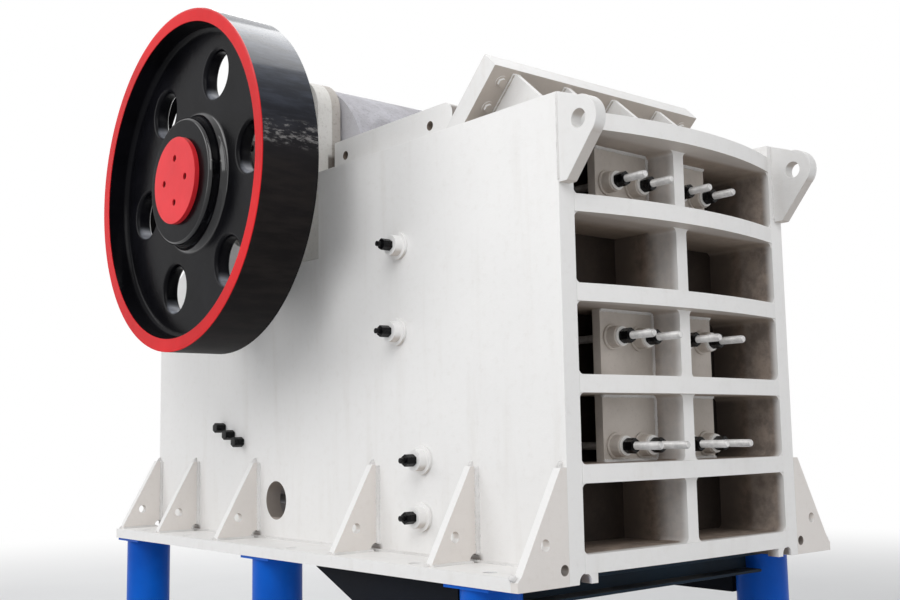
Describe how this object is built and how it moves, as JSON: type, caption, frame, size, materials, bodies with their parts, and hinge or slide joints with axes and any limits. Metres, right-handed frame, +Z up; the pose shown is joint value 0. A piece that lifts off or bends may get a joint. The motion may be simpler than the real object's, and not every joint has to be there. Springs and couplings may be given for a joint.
{
  "type": "jaw crusher",
  "caption": "Jaw crusher: ribbed welded frame with toothed jaws, a swinging pitman, a flywheel and a belt pulley on one shaft, standing on steel pipe stands.",
  "frame": {"origin": "on the floor under the middle of the machine's plan", "axes": "+Z up, +Y from the ribbed front wall towards the rear, +X along the shaft towards the belt pulley"},
  "size_m": [2.88, 3.91, 3.7978],
  "materials": {
    "cream_paint": "semi-gloss cream paint over welded plate",
    "black_gloss": "gloss black paint",
    "red_paint": "gloss red paint",
    "blue_paint": "gloss blue paint",
    "navy_paint": "satin dark navy paint",
    "black_nuts": "black oxide with oil",
    "bright_steel": "turned bright steel",
    "rough_casting": "rough grey primed casting",
    "jaw_steel": "raw manganese steel casting"
  },
  "bodies": {
    "frame": {"side_plate_left": "cream_paint", "side_plate_right": "cream_paint", "front_back_plate": "cream_paint", "front_ribs": "cream_paint", "front_top_plate": "cream_paint", "front_bottom_plate": "cream_paint", "front_center_web": "cream_paint", "bolt_plates": "cream_paint", "jaw_bolt_sleeves": "cream_paint", "jaw_bolt_washers": "cream_paint", "jaw_bolt_nuts": "black_nuts", "jaw_bolt_rods": "bright_steel", "base_flange_left": "cream_paint", "base_flange_right": "cream_paint", "gussets_left": "cream_paint", "gussets_right": "cream_paint", "lifting_lug_left": "cream_paint", "lifting_lug_right": "cream_paint", "side_bolt_sleeves": "cream_paint", "side_bolt_ends": "black_nuts", "beam_bolts": "black_nuts", "cheek_plate_left": "cream_paint", "cheek_plate_right": "cream_paint", "fixed_jaw": "jaw_steel", "moving_jaw": "jaw_steel", "pitman": "rough_casting", "feed_guard": "cream_paint", "feed_guard_ribs": "cream_paint", "bearing_housing_left": "cream_paint", "bearing_housing_right": "cream_paint", "bearing_covers": "cream_paint", "toggle_plate": "rough_casting", "toggle_seat": "rough_casting", "toggle_beam": "cream_paint", "rear_wall": "cream_paint", "tension_rods": "bright_steel", "tension_springs": "black_nuts", "pipe_stands": "blue_paint", "front_cross_beam": "navy_paint", "side_girders": "navy_paint"},
    "rotor": {"eccentric_shaft": "bright_steel", "flywheel": "black_gloss", "flywheel_cap": "red_paint", "drive_pulley": "black_gloss", "pulley_cap": "red_paint"}
  },
  "joints": [
    {"name": "shaft_spin", "type": "hinge", "parent": "frame", "child": "rotor", "pos_m": [0, 0.491, 2.881], "axis": [1, 0, 0], "continuous": true}
  ]
}
